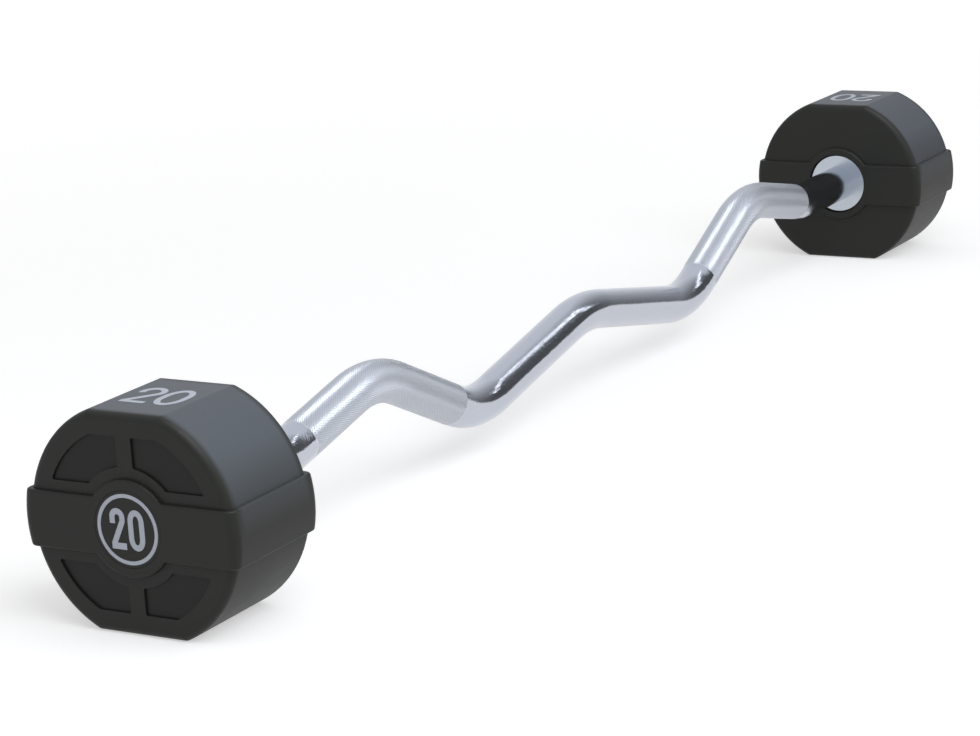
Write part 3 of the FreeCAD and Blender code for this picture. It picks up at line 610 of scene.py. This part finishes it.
class BarSweep:
    """A bar drawn out ring by ring from its left shoulder to its right one."""

    def __init__(self, bar):
        self.bar = bar
        self.sculpt = bmesh.new()
        self.around = self.sculpt.verts.layers.int.new("around")
        self.row = self.sculpt.verts.layers.int.new("row")
        self.groove = self.sculpt.verts.layers.float.new("groove")
        self.centre = Vector((-SHOULDER_AT, 0, AXIS_HEIGHT))
        self.heading = 0
        self.rows = []
        stand = Matrix.Translation(self.centre) @ Matrix.Rotation(math.pi / 2, 4, "Y")
        self.verts = bmesh.ops.create_circle(
            self.sculpt, segments=bar.segments, radius=bar.diameter / 2, matrix=stand)["verts"]
        for number, vert in enumerate(self.verts):
            vert[self.around] = number
        self.edges = self.sculpt.edges[:]
        self.first_edges = self.edges

    def mark_row(self):
        """Note the present ring as a row of the knurl."""
        self.rows.append((self.verts, self.centre.copy()))
        for vert in self.verts:
            vert[self.row] = len(self.rows)

    def advance(self, run, turn, radius, knurled):
        """Draw the bar out along a run or round a bend."""
        spacing = self.bar.knurl_row if knurled else self.bar.ring_spacing
        count = max(1, round(run / spacing)) if knurled or turn else 1
        if knurled and not self.verts[0][self.row]:
            self.mark_row()
        for _ in range(count):
            self.verts, self.edges = draw_out(self.sculpt, self.edges)
            if turn:
                side = math.copysign(radius, turn)
                hub = self.centre + Vector((-math.sin(self.heading), 0, math.cos(self.heading))) * side
                spin = Matrix.Rotation(-turn / count, 3, "Y")
                bmesh.ops.rotate(self.sculpt, cent=hub, matrix=spin, verts=self.verts)
                self.centre = hub + spin @ (self.centre - hub)
                self.heading += turn / count
            else:
                move = Vector((math.cos(self.heading), 0, math.sin(self.heading))) * (run / count)
                bmesh.ops.translate(self.sculpt, vec=move, verts=self.verts)
                self.centre = self.centre + move
            for vert in self.verts:
                vert[self.row] = 0
            if knurled:
                self.mark_row()

    def turn_end(self, edges, hand):
        """Turn the spigot, its tip and the tapped hole at one end of the bar."""
        bar = self.bar
        tip = BAR_END - SHOULDER_AT
        radius = bar.diameter / 2
        along = 0
        for reach, new_radius in (
                (0, bar.spigot_radius), (tip - bar.spigot_chamfer, bar.spigot_radius),
                (tip, bar.spigot_radius - bar.spigot_chamfer), (tip, bar.hole_radius),
                (tip - bar.hole_depth, bar.hole_radius)):
            verts, edges = draw_out(self.sculpt, edges)
            shrink = new_radius / radius
            axis = Matrix.Translation((0, 0, -AXIS_HEIGHT))
            bmesh.ops.scale(self.sculpt, vec=(1, shrink, shrink), space=axis, verts=verts)
            bmesh.ops.translate(self.sculpt, vec=(hand * (reach - along), 0, 0), verts=verts)
            for vert in verts:
                vert[self.row] = 0
            radius, along = new_radius, reach
        bmesh.ops.edgeloop_fill(self.sculpt, edges=edges)

    def press_knurl(self):
        """Raise and sink the rows' points in turn, and split the faces along the grooves."""
        low = []
        ends = {0, len(self.rows) - 1}
        for number, (verts, centre) in enumerate(self.rows):
            inside = number not in ends and self.joined(number)
            for vert in verts:
                sunk = (vert[self.around] + number) % 2
                if sunk:
                    low.append(vert)
                if inside:
                    out = (vert.co - centre).normalized()
                    vert.co += out * (-self.bar.knurl_sink if sunk else self.bar.knurl_raise)
                    vert[self.groove] = sunk
        bmesh.ops.connect_verts(self.sculpt, verts=low)

    def joined(self, number):
        """Say whether a row has a neighbour of its own grip on both sides."""
        span = 2 * self.bar.knurl_row
        middle = self.rows[number][1]
        return all((self.rows[other][1] - middle).length < span for other in (number - 1, number + 1))

    def shade(self):
        """Give the knurl its own material and flat faces, and the rest smooth ones."""
        for face in self.sculpt.faces:
            knurled = all(vert[self.row] for vert in face.verts)
            face.material_index = int(knurled)
            face.smooth = not knurled
        for edge in self.sculpt.edges:
            if edge.is_manifold and edge.calc_face_angle(0) > self.bar.crease:
                edge.smooth = False


class CURLBAR_OT_draw_bar(Operator):
    """Draw the bent bar with its knurled grips"""
    bl_idname = "curlbar.draw_bar"
    bl_label = "Draw the bar"

    def execute(self, context):
        settings = context.scene.curl_bar
        bar = settings.bar
        course = bar_course(bar)
        middle = sum(piece[0] for piece in course) / 2
        reaches = (-bar.knurl_to, -bar.knurl_from, bar.knurl_from, bar.knurl_to)
        marks = [middle + reach for reach in reaches]
        sweep = BarSweep(bar)
        for piece in cut_course(course, marks):
            sweep.advance(*piece)
        sweep.turn_end(sweep.edges, SIDES["right"])
        sweep.turn_end(sweep.first_edges, SIDES["left"])
        sweep.press_knurl()
        bmesh.ops.recalc_face_normals(sweep.sculpt, faces=sweep.sculpt.faces[:])
        sweep.shade()
        mesh = mesh_from(sweep.sculpt, "bent_bar")
        surfaces = [chrome_material(settings.finish), knurl_material(settings.finish)]
        piece = add_piece("bent_bar", mesh, surfaces)
        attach(piece, BODY)
        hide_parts("curl_bar")
        return {"FINISHED"}


def tangent_turn(centre, radius, foot):
    """How far round a circle, clockwise from its right side, a line to the foot leaves it."""
    reach = foot - centre
    return -(math.atan2(reach.y, reach.x) + math.acos(radius / reach.length))


def sweep_stroke(sculpt, edges, centre, turn):
    """Carry a stroke's end clockwise round a centre."""
    geometry = edges + [vert for edge in edges for vert in edge.verts]
    made = bmesh.ops.spin(
        sculpt, geom=geometry, cent=centre, axis=(0, 0, 1), angle=-turn, steps=ARC_STEPS,
        use_duplicate=False)
    return split_made(made["geom_last"])


def draw_two(sculpt, figure):
    """Draw the 2 with one stroke and a base, from its tip to the right end of its base."""
    half = figure.stroke / 2
    radius = figure.two_width / 2 - half
    centre = Vector((figure.two_width / 2, figure.height - figure.two_width / 2, 0))
    start = math.pi + figure.hook
    spoke = Vector((math.cos(start), math.sin(start), 0))
    ends = [sculpt.verts.new(centre + spoke * reach - Vector((0, figure.stem, 0)))
            for reach in (radius - half, radius + half)]
    edges = [sculpt.edges.new(ends)]
    if figure.stem:
        verts, edges = draw_out(sculpt, edges)
        bmesh.ops.translate(sculpt, vec=(0, figure.stem, 0), verts=verts)
    verts, edges = sweep_stroke(sculpt, edges, centre, start)
    if figure.waist:
        verts, edges = draw_out(sculpt, edges)
        bmesh.ops.translate(sculpt, vec=(0, -figure.waist, 0), verts=verts)
    bend = centre - Vector((0, figure.waist, 0))
    turn = tangent_turn(bend, radius, Vector((figure.foot, figure.base, 0)))
    verts, edges = sweep_stroke(sculpt, edges, bend, turn)
    slope = Vector((-math.sin(turn), -math.cos(turn), 0))
    verts, edges = draw_out(sculpt, edges)
    for vert in verts:
        vert.co += slope * ((vert.co.y - figure.base) / -slope.y)
    upper = max(verts, key=lambda vert: vert.co.x)
    verts, edges = draw_out(sculpt, edges)
    bmesh.ops.translate(sculpt, vec=(0, -figure.base, 0), verts=verts)
    lower = max(verts, key=lambda vert: vert.co.x)
    side = [edge for edge in upper.link_edges if edge.other_vert(upper) == lower]
    verts, edges = draw_out(sculpt, side)
    bmesh.ops.translate(sculpt, vec=(figure.two_width - upper.co.x, 0, 0), verts=verts)


def draw_oval(sculpt, width, height, side, middle):
    """Draw a closed oval with straight sides, and give its edges."""
    before = set(sculpt.edges)
    verts = bmesh.ops.create_circle(sculpt, segments=2 * ARC_STEPS, radius=width / 2)["verts"]
    bmesh.ops.scale(sculpt, vec=(1, (height - side) / width, 1), verts=verts)
    upper = [vert for vert in verts if vert.co.y > 0]
    lower = [vert for vert in verts if vert.co.y <= 0]
    bmesh.ops.translate(sculpt, vec=(0, side / 2, 0), verts=upper)
    bmesh.ops.translate(sculpt, vec=(0, -side / 2, 0), verts=lower)
    bmesh.ops.translate(sculpt, vec=middle, verts=verts)
    return [edge for edge in sculpt.edges if edge not in before]


def draw_zero(sculpt, figure):
    """Draw the 0 between two ovals."""
    middle = Vector((figure.two_width + figure.gap + figure.zero_width / 2, figure.height / 2, 0))
    outer = draw_oval(sculpt, figure.zero_width, figure.height, figure.side, middle)
    inner = draw_oval(sculpt, figure.zero_width - 2 * figure.stroke, figure.height - 2 * figure.stroke,
                      figure.side, middle)
    bmesh.ops.bridge_loops(sculpt, edges=outer + inner)


def figure_mesh(figure, finish, name, seat):
    """Draw both digits, thicken them and set them on their seat."""
    sculpt = bmesh.new()
    draw_two(sculpt, figure)
    draw_zero(sculpt, figure)
    width = figure.two_width + figure.gap + figure.zero_width
    bmesh.ops.translate(
        sculpt, vec=(-width / 2, -figure.height / 2, -finish.figure_sink), verts=sculpt.verts[:])
    made = bmesh.ops.extrude_face_region(sculpt, geom=sculpt.faces[:])["geom"]
    verts = [item for item in made if isinstance(item, bmesh.types.BMVert)]
    bmesh.ops.translate(sculpt, vec=(0, 0, finish.figure_sink + finish.figure_raise), verts=verts)
    bmesh.ops.transform(sculpt, matrix=seat, verts=sculpt.verts[:])
    return mesh_from(sculpt, name)


def seat_matrix(middle, across, up, out):
    """Stand a flat figure on a surface, by its middle and three directions."""
    turn = Matrix((across, up, out)).transposed().to_4x4()
    return Matrix.Translation(middle) @ turn


class CURLBAR_OT_mark_weight(Operator):
    """Set the weight figure on the end caps and on the flats on top of the heads"""
    bl_idname = "curlbar.mark_weight"
    bl_label = "Mark the weight"

    def execute(self, context):
        settings = context.scene.curl_bar
        ink = ink_material(settings.finish)
        for side, hand in SIDES.items():
            across = (0, hand, 0)
            cap_seat = seat_matrix((hand * CAP_FACE, 0, AXIS_HEIGHT), across, (0, 0, 1), (hand, 0, 0))
            flat_seat = seat_matrix((hand * HEAD_MIDDLE, 0, HEAD_TOP), across, (-hand, 0, 0), (0, 0, 1))
            for name, figure, seat in ((f"{side}_cap_figure", settings.cap_figure, cap_seat),
                                       (f"{side}_flat_figure", settings.flat_figure, flat_seat)):
                mesh = figure_mesh(figure, settings.finish, name, seat)
                piece = add_piece(name, mesh, [ink])
                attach(piece, BODY)
            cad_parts[f"{side}_cap_ring"].material_slots[0].material = ink
        return {"FINISHED"}


class CURLBAR_OT_finish_heads(Operator):
    """Give the heads, their collars and the pieces inside them their surfaces"""
    bl_idname = "curlbar.finish_heads"
    bl_label = "Finish the heads"

    def execute(self, context):
        finish = context.scene.curl_bar.finish
        urethane = urethane_material(finish)
        steel = steel_material("zinc_plated_steel", finish.steel, finish.steel_roughness)
        surfaces = {
            "urethane_casing": urethane, "end_cap": urethane, "stop_collar": collar_material(finish),
            "weight_core": steel_material("machined_core", finish.core, finish.core_roughness),
            "drive_key": steel, "clamp_washer": steel, "lock_washer": steel, "end_bolt": steel,
        }
        for side in SIDES:
            for name, material in surfaces.items():
                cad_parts[f"{side}_{name}"].material_slots[0].material = material
        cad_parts["curl_bar"].material_slots[0].material = steel
        return {"FINISHED"}


def seen_rays(sheet):
    """One for rays from the camera, a mirror or glass, and nothing for the rest."""
    hidden = 1 - sheet.node("ShaderNodeLightPath", output="Is Camera Ray")
    for ray in ("Is Glossy Ray", "Is Transmission Ray"):
        hidden = hidden * (1 - sheet.node("ShaderNodeLightPath", output=ray))
    return 1 - hidden


def floor_material(stage):
    """Pale floor that is white where it is seen, and keeps the shadow."""
    material, sheet = new_material("pale_floor")
    matt = sheet.node("ShaderNodeBsdfDiffuse", sockets={"Color": solid_colour(stage.floor)})
    spot = sheet.position()
    reach = sheet.node("ShaderNodeVectorMath", {"operation": "LENGTH"}, {0: spot}, "Value")
    far = sheet.clamped(reach / stage.floor_blend)
    glow = stage.floor_near + (stage.floor_far - stage.floor_near) * far
    lift = sheet.node("ShaderNodeEmission", sockets={"Strength": glow * seen_rays(sheet)})
    shader = sheet.node("ShaderNodeAddShader", sockets={0: matt, 1: lift})
    sheet.node("ShaderNodeOutputMaterial", sockets={"Surface": shader})
    return material


def room_material(stage):
    """Light room with a dark corner at the front right, a bright one beside it and two low dark walls."""
    material, sheet = new_material("graded_room")
    spot = sheet.position()
    right, back, high = (sheet.part_of(spot, axis) for axis in "XYZ")
    depth = sheet.clamped((back + stage.room_dark_at) / (stage.room_dark_at + stage.room_light_at))
    up = (high / stage.room_light_height) ** stage.room_light_rise
    aside = sheet.clamped((stage.room_dark_from - right) / stage.room_blend)
    lit = sheet.clamped(depth + up + aside)
    facing = sheet.clamped((sheet.unsigned(back) - stage.wall_at) / stage.room_blend)
    low = sheet.clamped((stage.wall_height - high) / stage.wall_fade)
    shade = lit * (1 - facing * low)
    span = stage.room_light - stage.room_dark
    beside = aside * sheet.clamped((right - stage.bright_from) / stage.room_blend)
    ahead = sheet.node("ShaderNodeMath", {"operation": "MAXIMUM"}, {0: 0 - stage.bright_front - back, 1: 0})
    sheet.glow(stage.light, stage.room_dark + span * shade + stage.bright_level * beside * ahead)
    return material


def strip_material(stage, middle, across):
    """Bright, patchy strip that fades towards its long edges."""
    material, sheet = new_material("bright_strip")
    offset = sheet.node("ShaderNodeVectorMath", {"operation": "SUBTRACT"}, {0: sheet.position(), 1: middle})
    aside = sheet.node(
        "ShaderNodeVectorMath", {"operation": "DOT_PRODUCT"}, {0: offset, 1: across}, "Value")
    edge = aside / (stage.strip_width / 2)
    noise = sheet.pattern(even(stage.strip_patches, STRIP_LAYERS))
    patch = sheet.clamped((noise - stage.strip_dim_share) * stage.strip_contrast)
    sheet.glow(stage.light, stage.strip_level * (1 - edge * edge) * patch)
    return material


def overhead_material(stage):
    """Evenly bright sheet."""
    material, sheet = new_material("overhead_glow")
    sheet.glow(stage.light, stage.overhead_level)
    return material


def add_stage_piece(name, sculpt, material):
    """Put a piece of the studio into the scene."""
    mesh = bpy.data.meshes.new(name)
    sculpt.to_mesh(mesh)
    sculpt.free()
    piece = add_piece(name, mesh, [material])
    return piece


def show_in_gloss_only(piece):
    """Hide a piece of the studio from all but reflections."""
    for rays in ("camera", "diffuse", "shadow", "transmission", "volume_scatter"):
        setattr(piece, f"visible_{rays}", False)


def add_floor(stage):
    """The round floor under the heads."""
    sculpt = bmesh.new()
    bmesh.ops.create_circle(sculpt, cap_ends=True, segments=ROUND_SEGMENTS, radius=stage.floor_radius,
                            matrix=Matrix.Translation((0, 0, -stage.floor_drop)))
    add_stage_piece("floor", sculpt, floor_material(stage))


def add_room(stage):
    """The round room, which only reflections show."""
    sculpt = bmesh.new()
    bmesh.ops.create_uvsphere(
        sculpt, u_segments=ROUND_SEGMENTS, v_segments=ROUND_SEGMENTS // 2, radius=stage.room_radius)
    show_in_gloss_only(add_stage_piece("studio_room", sculpt, room_material(stage)))


def sheet_of(middle, across, along):
    """A flat sheet, by its middle and its two sides."""
    sculpt = bmesh.new()
    stand = seat_matrix(middle, across, along, across.cross(along).normalized())
    bmesh.ops.create_grid(sculpt, size=HALF_SIDE, matrix=stand)
    return sculpt


def add_strip(stage):
    """The bright strip to the right of the bar, which only reflections show."""
    foot, head = Vector(stage.strip_foot), Vector(stage.strip_head)
    middle = (foot + head) / 2
    across = middle.cross(head - foot).normalized()
    sculpt = sheet_of(middle, across * stage.strip_width, head - foot)
    show_in_gloss_only(add_stage_piece("strip_light", sculpt, strip_material(stage, middle, across)))


def add_overhead(stage):
    """The broad light above the bar, which only reflections show."""
    run, width = stage.overhead_size
    sculpt = sheet_of(Vector(stage.overhead_at), Vector((run, 0, 0)), Vector((0, width, 0)))
    show_in_gloss_only(add_stage_piece("overhead_light", sculpt, overhead_material(stage)))


def add_softbox(stage):
    """The broad lamp above the bar, aimed at its middle, which no reflection shows."""
    run, width = stage.softbox_size
    data = bpy.data.lights.new("softbox", "AREA")
    data.shape = "RECTANGLE"
    data.size = run
    data.size_y = width
    data.energy = stage.softbox_level * math.pi * run * width
    data.color = stage.light
    lamp = bpy.data.objects.new("softbox", data)
    bpy.context.scene.collection.objects.link(lamp)
    view = Vector((0, 0, AXIS_HEIGHT)) - Vector(stage.softbox_at)
    lamp.location = stage.softbox_at
    lamp.rotation_euler = view.to_track_quat("-Z", "Y").to_euler()
    lamp.visible_camera = False
    lamp.visible_glossy = False


def add_world(stage):
    """Room light: white where it is seen, and dimmer where it lights the object."""
    world = bpy.data.worlds.new("studio")
    world.use_nodes = True
    sheet = NodeSheet(world.node_tree)
    strength = stage.ambient + (1 - stage.ambient) * seen_rays(sheet)
    shader = sheet.node("ShaderNodeBackground", sockets={"Color": WHITE, "Strength": strength})
    sheet.node("ShaderNodeOutputWorld", sockets={"Surface": shader})
    bpy.context.scene.world = world


def add_camera(stage):
    """The camera at the photograph's angle."""
    data = bpy.data.cameras.new("camera")
    data.lens = stage.lens
    camera = bpy.data.objects.new("camera", data)
    bpy.context.scene.collection.objects.link(camera)
    facing = (Vector(stage.camera_aim) - Vector(stage.camera_at)).to_track_quat("-Z", "Y")
    camera.location = stage.camera_at
    camera.rotation_euler = (facing @ Quaternion((0, 0, 1), stage.camera_roll)).to_euler()
    bpy.context.scene.camera = camera


class CURLBAR_OT_set_stage(Operator):
    """Set the camera, the floor and the studio light"""
    bl_idname = "curlbar.set_stage"
    bl_label = "Set the stage"

    def execute(self, context):
        stage = context.scene.curl_bar.stage
        context.scene.view_settings.view_transform = "Standard"
        add_camera(stage)
        add_world(stage)
        add_floor(stage)
        add_room(stage)
        add_strip(stage)
        add_overhead(stage)
        add_softbox(stage)
        return {"FINISHED"}


class CURLBAR_PT_sidebar(Panel):
    """The curl bar's settings and steps"""
    bl_idname = "CURLBAR_PT_sidebar"
    bl_label = "Curl bar"
    bl_space_type = "VIEW_3D"
    bl_region_type = "UI"
    bl_category = "Curl bar"

    def draw(self, context):
        settings = context.scene.curl_bar
        for title, group, step in (
                ("Bar", settings.bar, CURLBAR_OT_draw_bar), ("Cap figure", settings.cap_figure, None),
                ("Flat figure", settings.flat_figure, CURLBAR_OT_mark_weight),
                ("Finish", settings.finish, CURLBAR_OT_finish_heads),
                ("Stage", settings.stage, CURLBAR_OT_set_stage)):
            box = self.layout.box()
            box.label(text=title)
            for name in group.__annotations__:
                box.prop(group, name)
            if step:
                box.operator(step.bl_idname)


CLASSES = (
    BarSettings, CapFigureSettings, FlatFigureSettings, FinishSettings, StageSettings, CurlBarSettings,
    CURLBAR_OT_draw_bar, CURLBAR_OT_mark_weight, CURLBAR_OT_finish_heads, CURLBAR_OT_set_stage,
    CURLBAR_PT_sidebar,
)


def register():
    """Add the classes and the scene's settings."""
    for item in CLASSES:
        bpy.utils.register_class(item)
    bpy.types.Scene.curl_bar = PointerProperty(type=CurlBarSettings)


def unregister():
    """Take the settings and the classes away again."""
    del bpy.types.Scene.curl_bar
    for item in reversed(CLASSES):
        bpy.utils.unregister_class(item)


def main():
    """Build the dressed bar and its stage."""
    register()
    bpy.ops.curlbar.draw_bar()
    bpy.ops.curlbar.mark_weight()
    bpy.ops.curlbar.finish_heads()
    bpy.ops.curlbar.set_stage()


if __name__ == "__main__":
    main()
